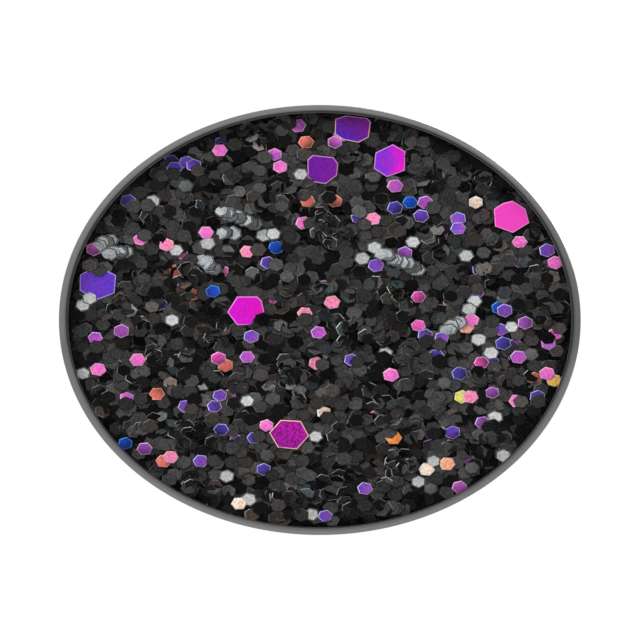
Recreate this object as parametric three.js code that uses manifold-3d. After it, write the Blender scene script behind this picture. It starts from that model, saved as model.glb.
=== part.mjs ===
// An oval glitter pin. A rimmed metal tray holds a black base coat, a bed of small hexagonal glitter flakes,
// seven large flakes and a clear resin top. Two posts on the back each carry a butterfly clutch, whose two
// spring leaves grip the post and let go of it when their wings are pinched together.
// Millimetres, +Z up. The face looks along -Y and the posts point along +Y. The origin is the centre of the
// tray's flat back, which bears on the cloth. Left and right are as seen from the front.

import * as THREE from "three";
import { mergeVertices } from "three/addons/utils/BufferGeometryUtils.js";
import Module from "manifold-3d";

const wasm = await Module();
wasm.setup();

// Driving dimensions of the oval.
const WIDTH = 38.1;
const HEIGHT = 31.4;
const FLATTEN = HEIGHT / WIDTH; // an oval is a turned shape, narrowed by this along Z
const RIM_WIDTH = 0.72;
const RIM_DEPTH = 2.2; // from the back to the rim's crest
const SHOULDER = 0.5; // the rounded outer edge of the rim
const RIM_SLOPE = 0.1; // how far the rim falls from its crest to its inner wall
const BACK_EDGE = 0.35; // the small bevel round the back
const FLOOR = 0.9; // the tray's metal under the filling
const OVAL_SEGMENTS = 72;

// Layers of the filling, from the tray's floor to the face.
const FILL_GAP = 0.05; // clearance between the filling and the rim's inner wall
const BASE_COAT = 0.15;
const BED = 0.6;
const FLAKE_THICKNESS = 0.1;
const RESIN_EDGE = 0.1; // resin over the flakes, beside the rim
const RESIN_CROWN = 0.1; // how much the resin rises towards its middle

// Large flakes, cut from foil to rough hexagons about 2.5 across: the centre on the face, the corners round
// it as x and z from the centre, and the colour. The top of the uppermost one is cut to the tray's curve.
const LARGE_FLAKES = [
  {
    name: "flake_violet_left",
    centre: [-16.24, 2.72],
    corners: [[0, 1.25], [1.36, 0.55], [1.24, -0.75], [0, -1.24], [-1.3, -0.56], [-1.27, 0.59]],
    colour: 0x5a30c0,
  },
  {
    name: "flake_magenta_centre",
    centre: [-5.31, 0.68],
    corners: [[0.73, 1.04], [1.08, 0.72], [1.25, -0.1], [0.73, -1.04], [-0.73, -1.04], [-1.45, -0.1], [-0.73, 1.04]],
    colour: 0xd810d8,
  },
  {
    name: "flake_magenta_low",
    centre: [-2.24, -8.34],
    corners: [[0.86, 0.97], [1.45, -0.12], [0.57, -1.09], [-0.82, -0.97], [-1.45, 0.12], [-0.62, 1.05]],
    colour: 0xaa12a8,
  },
  {
    name: "flake_purple_upper",
    centre: [0.2, 10.98],
    corners: [[0.8, 0.9], [1.14, 0.45], [1.05, -0.42], [0.23, -1.04], [-0.61, -0.91], [-1.08, -0.57],
      [-1.1, 0.72], [-0.72, 1.07]],
    colour: 0x7d18a8,
  },
  {
    name: "flake_purple_top",
    centre: [2.41, 13.98],
    corners: [[1.05, 0.76], [1.31, 0.5], [1.16, -0.63], [0.43, -1.02], [-0.73, -0.8], [-1.32, -0.38],
      [-1.28, 0.7], [-0.52, 0.95]],
    colour: 0x6420a4,
  },
  {
    name: "flake_violet_upper_right",
    centre: [5.11, 11.64],
    corners: [[0.23, 1.2], [1.13, 0.69], [1.09, -0.72], [-0.21, -1.19], [-1.17, -0.58], [-1.04, 0.59]],
    colour: 0xa42ccc,
  },
  {
    name: "flake_pink_right",
    centre: [13.97, 7.52],
    corners: [[0.1, 1.2], [1.05, 0.6], [1.32, -0.42], [0.13, -1.15], [-1.17, -0.67], [-1.26, 0.59], [-0.6, 1.02]],
    colour: 0xf83cc4,
  },
];

// Posts.
const POST_SPACING = 19;
const POST_RADIUS = 0.58;
const POST_LENGTH = 8.2;
const POST_HEAD_RADIUS = 2.4;
const POST_HEAD = 0.35;
const GROOVE_RADIUS = 0.44;
const GROOVE_START = 6.05;
const GROOVE_END = 7.1;
const CONE_START = 7.3;
const TIP_RADIUS = 0.12;

// Clutches. Heights along +Y are from the cup's face on the cloth.
const CLOTH_GAP = 5.2; // from the tray's back to the cup, with the leaves at the post's groove
const CUP_RADIUS = 5.7;
const SHEET = 0.35; // the cup's metal
const LEAF_SHEET = 0.26; // the spring strip
const HOLE_RADIUS = 0.85; // where the post goes through the cup, the bow and the cover
const WELL_RADIUS = 5.0; // the inside of the cup
const LEDGE = 2.05; // the cover's seat
const COVER_RADIUS = 5.3;
const COVER_SHEET = 0.32;
const LIP_START = 2.42; // the underside of the rim that is turned over the cover
const LIP_RADIUS = 4.9;
const CUP_HEIGHT = 2.7;

// Spring leaves. Leaf a's wing stands at +X, and leaf b is the same turned half round, one level further out.
const PINCH_TRAVEL = 0.45; // how far each leaf slides inwards
const LEAF_A_LEVEL = 1.15;
const LEAF_B_LEVEL = 1.65;
const LEAF_END = 3.6; // the arm's end, on the side away from its wing
const ARM_WIDTH = 3.2;
const NECK_WIDTH = 1.8;
const NECK_START = 2.0; // where the arm narrows to its neck
const NECK_X = 2.9;
const NECK_TOP = 2.75;
const WING_WIDTH = 4.6;
const WING_LENGTH = 3.0;
const WING_SLOPE = 42; // degrees above the cover
const BEND = 0.45;
const FLARE = 0.8; // the bend between neck and wing
const CURL = 0.5; // the rolled end of the wing
const CURL_SWEEP = 210; // degrees
const BITE = 0.02; // clearance between the post and the edge that grips it
const SLOT_WIDTH = 2.2; // the slot in leaf b's arm for leaf a's neck
const BOW_X = 4.45;

const COLOURS = {
  black: 0x2c2c2e,
  enamel: 0x08080a,
  glitter: 0x26262a,
  resin: 0xf4f6f8,
  nickel: 0xb9bcc0,
};

const metal = (color) => new THREE.MeshStandardMaterial({ color, roughness: 0.35, metalness: 1 });
const gloss = (color) => new THREE.MeshStandardMaterial({ color, roughness: 0.25, metalness: 0 });

const pin = new THREE.Group();

function add(parent, name, geometry, material) {
  const mesh = new THREE.Mesh(geometry, material);
  mesh.name = name;
  parent.add(mesh);
  return mesh;
}

const radians = (degrees) => THREE.MathUtils.degToRad(degrees);

// Points of a circular arc from one angle to another, in degrees.
function arc(x, y, radius, from, to, steps) {
  return Array.from({ length: steps + 1 }, (_, i) => {
    const angle = radians(from + ((to - from) * i) / steps);
    return new THREE.Vector2(x + radius * Math.cos(angle), y + radius * Math.sin(angle));
  });
}

const point = (x, y) => new THREE.Vector2(x, y);

// A profile of radius and height turned round the Y axis.
const turned = (profile, segments) => new THREE.LatheGeometry(profile, segments);

// The same, narrowed to the pin's oval.
const oval = (profile) => turned(profile, OVAL_SEGMENTS).scale(1, 1, FLATTEN);

// A plain oval layer between two depths behind the face.
function layer(radius, back, front) {
  return oval([point(0, -front), point(radius, -front), point(radius, -back), point(0, -back)]);
}

// A closed three.js geometry as a manifold solid, and back.
function solid(geometry) {
  const bare = geometry.clone();
  bare.deleteAttribute("normal");
  bare.deleteAttribute("uv");
  const merged = mergeVertices(bare, 1e-4);
  return new wasm.Manifold(
    new wasm.Mesh({
      numProp: 3,
      vertProperties: merged.attributes.position.array,
      triVerts: new Uint32Array(merged.index.array),
    }),
  );
}

function geometryOf(body) {
  const mesh = body.getMesh();
  const geometry = new THREE.BufferGeometry();
  geometry.setAttribute("position", new THREE.BufferAttribute(mesh.vertProperties, 3));
  geometry.setIndex(new THREE.BufferAttribute(mesh.triVerts, 1));
  geometry.computeVertexNormals();
  return geometry;
}

// A box given by its lowest and highest corners, as a solid to cut with.
function block(low, high) {
  const size = high.map((value, i) => value - low[i]);
  const centre = high.map((value, i) => (value + low[i]) / 2);
  return solid(new THREE.BoxGeometry(...size).translate(...centre));
}

// The tray: the floor that carries the filling, and the rim round it.
function trayProfile() {
  const outer = WIDTH / 2;
  const inner = outer - RIM_WIDTH;
  const crest = outer - SHOULDER;
  const markRadius = 4; // a ring of vertices that keeps the back's middle apart from the posts
  return [
    point(0, -FLOOR),
    point(inner, -FLOOR),
    point(inner, -(RIM_DEPTH - RIM_SLOPE)),
    point(crest, -RIM_DEPTH),
    ...arc(crest, -(RIM_DEPTH - 0.05 - SHOULDER), SHOULDER, -80, 0, 5),
    point(outer, -BACK_EDGE),
    point(outer - BACK_EDGE, 0),
    point(markRadius, 0),
    point(0, 0),
  ];
}

// The clear resin: flat where it lies on the flakes, crowned in front.
function resinProfile(back) {
  const radius = WIDTH / 2 - RIM_WIDTH - FILL_GAP;
  const steps = 5;
  const crown = Array.from({ length: steps + 1 }, (_, i) => {
    const share = i / steps;
    return point(radius * share, -(back + RESIN_EDGE + RESIN_CROWN * (1 - share * share)));
  });
  return [...crown, point(radius, -back), point(0, -back)];
}

// A large flake: a thin plate lying flat in the resin, its outline drawn in X and Z.
function flake(corners) {
  const outline = new THREE.Shape(corners.map(([x, z]) => point(x, z)));
  return new THREE.ExtrudeGeometry(outline, { depth: FLAKE_THICKNESS, bevelEnabled: false }).rotateX(Math.PI / 2);
}

// A post: the head that is soldered to the tray, the shaft, the groove for the leaves and the point.
const postProfile = [
  point(0, 0),
  point(POST_HEAD_RADIUS, 0),
  point(POST_HEAD_RADIUS, POST_HEAD * 0.6),
  point(POST_HEAD_RADIUS - 0.25, POST_HEAD),
  point(POST_RADIUS + 0.15, POST_HEAD),
  point(POST_RADIUS, POST_HEAD + 0.2),
  point(POST_RADIUS, GROOVE_START),
  point(GROOVE_RADIUS, GROOVE_START + 0.12),
  point(GROOVE_RADIUS, GROOVE_END - 0.12),
  point(POST_RADIUS, GROOVE_END),
  point(POST_RADIUS, CONE_START),
  point(TIP_RADIUS, POST_LENGTH - 0.06),
  point(0, POST_LENGTH),
];

// The cup: a shallow dish whose rim is turned inwards over the cover. The profile closes on itself.
const cupProfile = [
  point(HOLE_RADIUS, 0),
  ...arc(CUP_RADIUS - 0.4, 0.4, 0.4, -90, 0, 3),
  ...arc(CUP_RADIUS - 0.3, CUP_HEIGHT - 0.3, 0.3, 0, 90, 3),
  point(LIP_RADIUS, CUP_HEIGHT),
  point(LIP_RADIUS, LIP_START),
  point(CUP_RADIUS - SHEET, LIP_START),
  point(CUP_RADIUS - SHEET, LEDGE),
  point(WELL_RADIUS, LEDGE),
  point(WELL_RADIUS, SHEET),
  point(HOLE_RADIUS, SHEET),
  point(HOLE_RADIUS, 0),
];

// The cover: a disc with a hole for the post and a window for each leaf's neck.
function coverGeometry() {
  const disc = new THREE.CylinderGeometry(COVER_RADIUS, COVER_RADIUS, COVER_SHEET, 40);
  const hole = new THREE.CylinderGeometry(HOLE_RADIUS, HOLE_RADIUS, 2, 20);
  const clearance = 0.25;
  const near = NECK_X - LEAF_SHEET / 2 - PINCH_TRAVEL - clearance;
  const far = NECK_X + LEAF_SHEET / 2 + clearance;
  const half = NECK_WIDTH / 2 + clearance;
  const cover = solid(disc)
    .subtract(solid(hole))
    .subtract(block([near, -1, -half], [far, 1, half]))
    .subtract(block([-far, -1, -half], [-near, 1, half]));
  return geometryOf(cover).translate(0, LEDGE + COVER_SHEET / 2, 0);
}

// A ribbon: a path in X and Y thickened to both sides, and as wide along Z as asked.
function ribbon(path, thickness, width) {
  const normals = path.map((_, i) => {
    const before = path[Math.max(i - 1, 0)];
    const after = path[Math.min(i + 1, path.length - 1)];
    const along = after.clone().sub(before).normalize();
    return point(-along.y, along.x);
  });
  const shifted = (side) => path.map((p, i) => p.clone().addScaledVector(normals[i], (side * thickness) / 2));
  const outline = new THREE.Shape([...shifted(-1), ...shifted(1).reverse()]);
  return new THREE.ExtrudeGeometry(outline, { depth: width, bevelEnabled: false }).translate(0, 0, -width / 2);
}

// The middle of the spring strip: it lies on the cup's floor, and its two ends are turned up behind the arms.
function bowGeometry() {
  const level = SHEET + 0.02 + LEAF_SHEET / 2;
  const bend = 0.3;
  const top = (leafLevel) => leafLevel + 0.2;
  const path = [
    point(-BOW_X, top(LEAF_A_LEVEL)),
    ...arc(-BOW_X + bend, level + bend, bend, 180, 270, 3),
    ...arc(BOW_X - bend, level + bend, bend, 270, 360, 3),
    point(BOW_X, top(LEAF_B_LEVEL)),
  ];
  const strip = solid(ribbon(path, LEAF_SHEET, ARM_WIDTH));
  const post = solid(new THREE.CylinderGeometry(HOLE_RADIUS, HOLE_RADIUS, 2, 20));
  return geometryOf(strip.subtract(post));
}

// A spring leaf with its wing at +X: the arm that crosses the post, the neck that goes out through the cover,
// the wing and its rolled end. The post goes through a slot whose far edge grips it.
function leafGeometry(level, slotted) {
  const slope = radians(WING_SLOPE);
  const flareEnd = point(
    NECK_X + FLARE - FLARE * Math.sin(slope),
    NECK_TOP + FLARE * Math.cos(slope),
  );
  const wingEnd = flareEnd.clone().add(point(Math.cos(slope), Math.sin(slope)).multiplyScalar(WING_LENGTH));
  const curlCentre = wingEnd.clone().add(point(Math.sin(slope), -Math.cos(slope)).multiplyScalar(CURL));
  const curlStart = 90 + WING_SLOPE;
  const path = [
    point(-LEAF_END, level),
    ...arc(NECK_X - BEND, level + BEND, BEND, 270, 360, 4),
    ...arc(NECK_X + FLARE, NECK_TOP, FLARE, 180, curlStart, 3),
    ...arc(curlCentre.x, curlCentre.y, CURL, curlStart, curlStart - CURL_SWEEP, 9),
  ];
  let leaf = solid(ribbon(path, LEAF_SHEET, WING_WIDTH));
  const far = 9;
  for (const side of [-1, 1]) {
    const cutBeside = (halfWidth, low, high) => {
      const z = [side * halfWidth, side * far].sort((a, b) => a - b);
      leaf = leaf.subtract(block([low[0], low[1], z[0]], [high[0], high[1], z[1]]));
    };
    cutBeside(ARM_WIDTH / 2, [-far, 0], [NECK_START + 0.1, NECK_TOP]);
    cutBeside(NECK_WIDTH / 2, [NECK_START, 0], [far, NECK_TOP]);
  }
  const grip = -(POST_RADIUS + BITE);
  const open = PINCH_TRAVEL + POST_RADIUS + 0.25;
  const half = POST_RADIUS + 0.1;
  leaf = leaf.subtract(block([grip, 0, -half], [open, level + 0.3, half]));
  if (slotted) {
    // The other leaf's neck stands in this slot, seen here from leaf b turned back to +X.
    const neck = [-(NECK_X + LEAF_SHEET / 2 + 0.2), -(NECK_X - LEAF_SHEET / 2 - 2 * PINCH_TRAVEL - 0.2)];
    leaf = leaf.subtract(block([neck[0], 0, -SLOT_WIDTH / 2], [neck[1], level + 0.3, SLOT_WIDTH / 2]));
  }
  return geometryOf(leaf);
}

// The tray and its filling.
const fillRadius = WIDTH / 2 - RIM_WIDTH - FILL_GAP;
const coatFront = FLOOR + BASE_COAT;
const bedFront = coatFront + BED;
const flakeFront = bedFront + FLAKE_THICKNESS;
add(pin, "tray", oval(trayProfile()), metal(COLOURS.black));
add(pin, "base_coat", layer(fillRadius, FLOOR, coatFront), gloss(COLOURS.enamel));
add(pin, "glitter_bed", layer(fillRadius, coatFront, bedFront), gloss(COLOURS.glitter));
add(pin, "clear_resin", oval(resinProfile(flakeFront)), gloss(COLOURS.resin));
for (const { name, centre, corners, colour } of LARGE_FLAKES) {
  add(pin, name, flake(corners), gloss(colour)).position.set(centre[0], -bedFront, centre[1]);
}

// The posts and their clutches.
for (const [name, side] of [["left", -1], ["right", 1]]) {
  const x = (side * POST_SPACING) / 2;
  add(pin, `${name}_post`, turned(postProfile, 20), metal(COLOURS.nickel)).position.x = x;
  const clutch = new THREE.Group();
  clutch.position.set(x, CLOTH_GAP, 0);
  pin.add(clutch);
  add(clutch, `${name}_clutch_cup`, turned(cupProfile, 40), metal(COLOURS.nickel));
  add(clutch, `${name}_clutch_cover`, coverGeometry(), metal(COLOURS.nickel));
  add(clutch, `${name}_clutch_bow`, bowGeometry(), metal(COLOURS.nickel));
  add(clutch, `${name}_clutch_leaf_a`, leafGeometry(LEAF_A_LEVEL, false), metal(COLOURS.nickel));
  const leafB = leafGeometry(LEAF_B_LEVEL, true).rotateY(Math.PI);
  add(clutch, `${name}_clutch_leaf_b`, leafB, metal(COLOURS.nickel));
}

export default pin;
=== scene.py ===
# %% [markdown]
# # A glitter pin in Blender
# The pin is a black metal tray, filled with hexagonal glitter under clear resin, with two posts and two
# butterfly clutches behind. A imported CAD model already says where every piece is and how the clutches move.
# This notebook builds the visible pieces round that model, one at a time.

import math

import bmesh
import bpy
import numpy as np
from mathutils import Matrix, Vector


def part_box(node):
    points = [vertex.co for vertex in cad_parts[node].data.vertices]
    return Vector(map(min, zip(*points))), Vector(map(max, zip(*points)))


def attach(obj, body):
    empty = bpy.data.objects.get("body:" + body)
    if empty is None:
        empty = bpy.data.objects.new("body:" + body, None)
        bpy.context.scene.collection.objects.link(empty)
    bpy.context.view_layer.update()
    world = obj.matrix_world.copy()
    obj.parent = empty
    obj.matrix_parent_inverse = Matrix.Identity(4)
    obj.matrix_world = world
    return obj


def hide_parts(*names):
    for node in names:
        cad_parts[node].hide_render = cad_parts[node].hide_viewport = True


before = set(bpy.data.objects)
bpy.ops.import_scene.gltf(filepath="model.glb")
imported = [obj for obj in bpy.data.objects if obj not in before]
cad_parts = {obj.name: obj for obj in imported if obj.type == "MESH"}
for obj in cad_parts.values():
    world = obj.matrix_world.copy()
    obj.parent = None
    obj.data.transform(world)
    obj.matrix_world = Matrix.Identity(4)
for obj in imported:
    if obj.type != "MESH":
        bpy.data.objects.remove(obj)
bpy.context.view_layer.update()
print("CAD nodes:", len(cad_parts))

# %% [markdown]
# The pieces are small, so this notebook thinks in millimetres and turns them into metres at the last moment.
# X runs along the oval, Z is up, and the face looks along -Y. Depths are counted from the tray's back
# towards the viewer. The sizes of the tray and its filling come from the CAD boxes. The posts and clutches
# are standard hardware, and their sizes are written out where they are made.

# %% Sizes in millimetres
MM = 0.001


def size_of(node):
    """The lowest and highest corner of a CAD node, in millimetres."""
    low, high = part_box(node)
    return np.array(low) / MM, np.array(high) / MM


tray_low, tray_high = size_of("tray")
coat_low, coat_high = size_of("base_coat")
resin_low, resin_high = size_of("clear_resin")
HALF_WIDTH = tray_high[0]
FLATTEN = tray_high[2] / tray_high[0]
CREST = -tray_low[1]
FLOOR = -coat_high[1]
COAT_FRONT = -coat_low[1]
FLAKE_FRONT = -resin_high[1]
RESIN_FRONT = -resin_low[1]
FILL_RADIUS = resin_high[0]
print(f"oval {2 * HALF_WIDTH:.1f} x {2 * tray_high[2]:.1f}, rim {CREST:.1f} deep")

# %% [markdown]
# ## Camera
# A long lens far away keeps the oval free of perspective. The view is about a fifth wider than the oval.

# %% Camera
LENS = 300
SENSOR = 36
VIEW_WIDTH = 46.64
AIM_X, AIM_Z = 0.014, 0.007

camera_data = bpy.data.cameras.new("camera")
camera_data.lens = LENS
camera_data.sensor_width = SENSOR
camera = bpy.data.objects.new("camera", camera_data)
bpy.context.scene.collection.objects.link(camera)
camera_distance = VIEW_WIDTH * LENS / SENSOR + CREST
camera.location = (AIM_X * MM, -camera_distance * MM, AIM_Z * MM)
camera.rotation_euler = (math.pi / 2, 0, 0)
camera_data.clip_start = 0.01
camera_data.clip_end = 20
bpy.context.scene.camera = camera
print(f"camera {camera_distance:.0f} mm in front")

# %% [markdown]
# ## Light
# Every flake is a small mirror and shows what is round it, so the room matters more than any lamp. White
# paper stands on all sides of the pin, and gives its round shoulders a bright band. Straight in front, where
# the camera stands, and straight behind, the room is dark, and so flat black flakes stay black. The paper is
# brightest high on the left. The camera itself sees plain white.
#
# Two square panels add soft light. The one in front is left out of reflections, because its image would stand
# in the rim as a hard spot. The one behind stays in them, and the nickel at the back shows it.

# %% The room as a world
SKY_TOWARDS = (-0.7, -0.3, 0.6)
PAPER_DIM, PAPER_BRIGHT = 0.75, 1.2
DARK_FRONT = 0.15
DARK_UNTIL, PAPER_FROM = 0.97, 0.45

world = bpy.data.worlds.new("room")
bpy.context.scene.world = world
world.use_nodes = True
sky = world.node_tree
sky.nodes.clear()


def node(tree, kind, **settings):
    """A new shader node with its properties set."""
    made = tree.nodes.new(kind)
    for name, value in settings.items():
        setattr(made, name, value)
    return made


def mapped(tree, source, span, onto, smooth=False):
    """A Map Range node: values in span become values in onto."""
    made = node(tree, "ShaderNodeMapRange", interpolation_type="SMOOTHSTEP" if smooth else "LINEAR")
    for socket, value in zip(("From Min", "From Max", "To Min", "To Max"), (*span, *onto)):
        made.inputs[socket].default_value = value
    tree.links.new(source, made.inputs["Value"])
    return made.outputs["Result"]


direction = node(sky, "ShaderNodeTexCoord").outputs["Generated"]
towards = node(sky, "ShaderNodeVectorMath", operation="DOT_PRODUCT")
towards.inputs[1].default_value = SKY_TOWARDS
depthwise = node(sky, "ShaderNodeVectorMath", operation="DOT_PRODUCT")
depthwise.inputs[1].default_value = (0, 1, 0)
unsigned = node(sky, "ShaderNodeMath", operation="ABSOLUTE")
product = node(sky, "ShaderNodeMath", operation="MULTIPLY")
room = node(sky, "ShaderNodeBackground")
plain = node(sky, "ShaderNodeBackground")
plain.inputs["Color"].default_value = (1, 1, 1, 1)
path_of_light = node(sky, "ShaderNodeLightPath")
either = node(sky, "ShaderNodeMixShader")
sky_output = node(sky, "ShaderNodeOutputWorld")
sky.links.new(direction, towards.inputs[0])
sky.links.new(direction, depthwise.inputs[0])
sky.links.new(depthwise.outputs["Value"], unsigned.inputs[0])
upper_left = mapped(sky, towards.outputs["Value"], (-1, 1), (PAPER_DIM, PAPER_BRIGHT))
sideways = mapped(sky, unsigned.outputs[0], (PAPER_FROM, DARK_UNTIL), (1, DARK_FRONT), smooth=True)
sky.links.new(upper_left, product.inputs[0])
sky.links.new(sideways, product.inputs[1])
sky.links.new(product.outputs[0], room.inputs["Strength"])
sky.links.new(path_of_light.outputs["Is Camera Ray"], either.inputs["Fac"])
sky.links.new(room.outputs["Background"], either.inputs[1])
sky.links.new(plain.outputs["Background"], either.inputs[2])
sky.links.new(either.outputs["Shader"], sky_output.inputs["Surface"])
bpy.context.scene.view_settings.view_transform = "Standard"
print("paper", PAPER_DIM, "to", PAPER_BRIGHT)

# %% Two soft panels
def panel(name, place, size, strength, in_gloss):
    """A square light of some millimetres, at a place in millimetres, turned to face the origin.

    in_gloss says whether reflections show it, or only the room's paper.
    """
    light = bpy.data.lights.new(name, "AREA")
    light.size = size * MM
    light.energy = strength
    made = bpy.data.objects.new(name, light)
    bpy.context.scene.collection.objects.link(made)
    made.visible_glossy = in_gloss
    made.location = np.array(place) * MM
    made.rotation_euler = (-made.location).to_track_quat("-Z", "Y").to_euler()


panel("key", (-220, -260, 330), 420, 2.8, in_gloss=False)
panel("behind", (180, 320, 200), 260, 1.2, in_gloss=True)

# %% [markdown]
# The floor is a pale disc some way below the pin. It gives the low views something to stand over, and it
# lights the underside softly.

# %% Floor
FLOOR_DROP = 60
FLOOR_RADIUS = 520
FLOOR_SIDES = 64
PAPER_GREY = 0.52
MERGE_WITHIN, FLAT_WITHIN = 1e-4, 1e-5
SHARP_FROM = 35


def finish_mesh(name, mesh, sharp=SHARP_FROM):
    """Merges a mesh's doubles, turns its faces outwards, shades it smooth up to an angle, and shows it."""
    shape = bmesh.new()
    shape.from_mesh(mesh)
    bmesh.ops.remove_doubles(shape, verts=shape.verts, dist=MERGE_WITHIN * MM)
    bmesh.ops.dissolve_degenerate(shape, dist=FLAT_WITHIN * MM, edges=shape.edges)
    bmesh.ops.recalc_face_normals(shape, faces=shape.faces)
    shape.to_mesh(mesh)
    shape.free()
    mesh.shade_smooth()
    mesh.set_sharp_from_angle(angle=math.radians(sharp))
    made = bpy.data.objects.new(name, mesh)
    bpy.context.scene.collection.objects.link(made)
    return made


def grid_faces(rows, columns, loop_rows=False, loop_columns=False):
    """The faces of a grid: four neighbours make one. Looped rows or columns join the last to the first."""
    index = np.arange(rows * columns).reshape(rows, columns)
    if loop_rows:
        index = np.vstack([index, index[:1]])
    if loop_columns:
        index = np.hstack([index, index[:, :1]])
    quads = np.stack([index[:-1, :-1], index[:-1, 1:], index[1:, 1:], index[1:, :-1]], axis=-1)
    return quads.reshape(-1, 4)


def surface(name, grid, loop_rows=False, sharp=SHARP_FROM):
    """A mesh over a grid of points in millimetres, rows by columns by three. Every row is a closed loop."""
    quads = grid_faces(*grid.shape[:2], loop_rows=loop_rows, loop_columns=True)
    mesh = bpy.data.meshes.new(name)
    mesh.from_pydata((grid.reshape(-1, 3) * MM).tolist(), [], quads.tolist())
    return finish_mesh(name, mesh, sharp)


floor_angles = np.linspace(0, 2 * np.pi, FLOOR_SIDES, endpoint=False)
floor_reach = np.array([0, FLOOR_RADIUS])[:, None]
floor_grid = np.stack([
    floor_reach * np.cos(floor_angles),
    floor_reach * np.sin(floor_angles),
    np.full((2, FLOOR_SIDES), -FLOOR_DROP),
], axis=-1)
floor = surface("floor", floor_grid)
paper = bpy.data.materials.new("paper")
paper.use_nodes = True
paper_shader = paper.node_tree.nodes["Principled BSDF"]
paper_shader.inputs["Base Color"].default_value = (PAPER_GREY, PAPER_GREY, PAPER_GREY, 1)
paper_shader.inputs["Roughness"].default_value = 0.8
floor.data.materials.append(paper)

# %% [markdown]
# ## Turned shapes
# The tray, posts and cups are all turned: a profile carried round an axis. The oval is a turned disc that is
# narrowed along Z, which is also how its die would be drawn. A profile is a few corners, each rounded by an
# arc that touches both its sides.

# %% Profiles and turning
def unit(vectors):
    """Vectors, each divided by its length."""
    return vectors / np.linalg.norm(vectors, axis=-1, keepdims=True)


def rounded(corners, radii, steps=6):
    """A line through corners, with every inner corner replaced by an arc of its radius.

    With h half the angle between the sides, the arc's centre lies radius / sin(h) from the corner on the
    bisector, and the arc touches each side radius / tan(h) from the corner.
    """
    corners = np.asarray(corners, float)
    line = [corners[:1]]
    share = np.linspace(0, 1, steps + 1)[:, None]
    for before, corner, after, radius in zip(corners, corners[1:], corners[2:], radii):
        if radius == 0:
            line.append(corner[None])
            continue
        back, ahead = unit(before - corner), unit(after - corner)
        half = np.arccos(np.clip(back @ ahead, -1, 1)) / 2
        centre = corner + unit(back + ahead) * radius / np.sin(half)
        first = corner + back * radius / np.tan(half) - centre
        last = corner + ahead * radius / np.tan(half) - centre
        sweep = np.pi - 2 * half
        blend = np.sin((1 - share) * sweep) * first + np.sin(share * sweep) * last
        line.append(centre + blend / np.sin(sweep))
    line.append(corners[-1:])
    return np.vstack(line)


def arc(centre, radius, start, end, steps):
    """Points on a circle from one angle to another, in degrees."""
    angles = np.radians(np.linspace(start, end, steps + 1))
    return np.asarray(centre) + radius * np.column_stack([np.cos(angles), np.sin(angles)])


def turned(name, profile, segments, centre=(0, 0, 0), flatten=1.0, ring=False, sharp=SHARP_FROM):
    """A profile of radius r and height y turned round the Y axis.

    The point at angle a is (r sin a, y, flatten r cos a). A ring's profile closes on itself.
    """
    angles = np.linspace(0, 2 * np.pi, segments, endpoint=False)
    radius, height = profile[:, :1], profile[:, 1:]
    grid = np.stack([
        radius * np.sin(angles),
        np.broadcast_to(height, (len(profile), segments)),
        flatten * radius * np.cos(angles),
    ], axis=-1)
    return surface(name, grid + np.asarray(centre), loop_rows=ring, sharp=sharp)


print("rounded, arc, turned")

# %% [markdown]
# ## Materials
# Every finish is one Principled shader. Plated metal is never even, so a fine noise bends its surface and
# varies its roughness. The noise is in object coordinates, so that it stays on the metal when a clutch moves.

# %% Materials
def finish(name, colour, metallic, roughness, uneven=0.0, grain=900.0, dents=0.0, **sockets):
    """A Principled material whose roughness varies by uneven, with a grain of so many waves per metre."""
    material = bpy.data.materials.new(name)
    material.use_nodes = True
    tree = material.node_tree
    shader = tree.nodes["Principled BSDF"]
    shader.inputs["Base Color"].default_value = (*colour, 1)
    shader.inputs["Metallic"].default_value = metallic
    shader.inputs["Roughness"].default_value = roughness
    for socket, value in sockets.items():
        shader.inputs[socket.replace("_", " ")].default_value = value
    if uneven or dents:
        place = node(tree, "ShaderNodeTexCoord")
        noise = node(tree, "ShaderNodeTexNoise")
        noise.inputs["Scale"].default_value = grain
        noise.inputs["Detail"].default_value = 4
        tree.links.new(place.outputs["Object"], noise.inputs["Vector"])
        spread = mapped(tree, noise.outputs["Fac"], (0, 1), (roughness - uneven, roughness + uneven))
        tree.links.new(spread, shader.inputs["Roughness"])
        if dents:
            bump = node(tree, "ShaderNodeBump")
            bump.inputs["Strength"].default_value = 1
            bump.inputs["Distance"].default_value = dents * MM
            tree.links.new(noise.outputs["Fac"], bump.inputs["Height"])
            tree.links.new(bump.outputs["Normal"], shader.inputs["Normal"])
    return material


black_plate = finish("black_plate", (0.014, 0.014, 0.0145), 0.0, 0.2, uneven=0.04, grain=2600, dents=0.001,
                     Specular_IOR_Level=1.0, Coat_Weight=1.0, Coat_IOR=1.7, Coat_Roughness=0.15)
enamel = finish("enamel", (0.003, 0.003, 0.004), 0.0, 0.3, uneven=0.1, grain=1500, Specular_IOR_Level=0.2)
nickel = finish("nickel", (0.58, 0.565, 0.54), 1.0, 0.22, uneven=0.06, grain=1800, dents=0.0015)
nickel_wire = finish("nickel_wire", (0.60, 0.585, 0.56), 1.0, 0.16, uneven=0.05, grain=3000, dents=0.001)
spring_nickel = finish("spring_nickel", (0.54, 0.525, 0.50), 1.0, 0.25, uneven=0.03, grain=1200)


def place_piece(piece, body, slot, material, *nodes):
    """Gives a piece its material, hides the CAD nodes that it stands for, and lets it ride. slot is not used.
    """
    piece.data.materials.append(material)
    if nodes:
        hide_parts(*nodes)
    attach(piece, body)


print("plate, enamel, nickel")

# %% [markdown]
# ## Tray
# The tray is cast or stamped with its rim in one piece, then plated black. Its outer shoulder is round, and
# turns from facing the viewer to facing sideways, so it picks up the white round it as a soft grey band.
# Inside the shoulder is the crest, a narrow band that is all but flat. It faces the dark front of the room
# and stays dark, and at its inner edge the rim drops to the filling.
#
# Smooth shading would spread the bend at the inner edge over the whole crest. Two more points near that edge
# keep the bend narrow.

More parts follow.
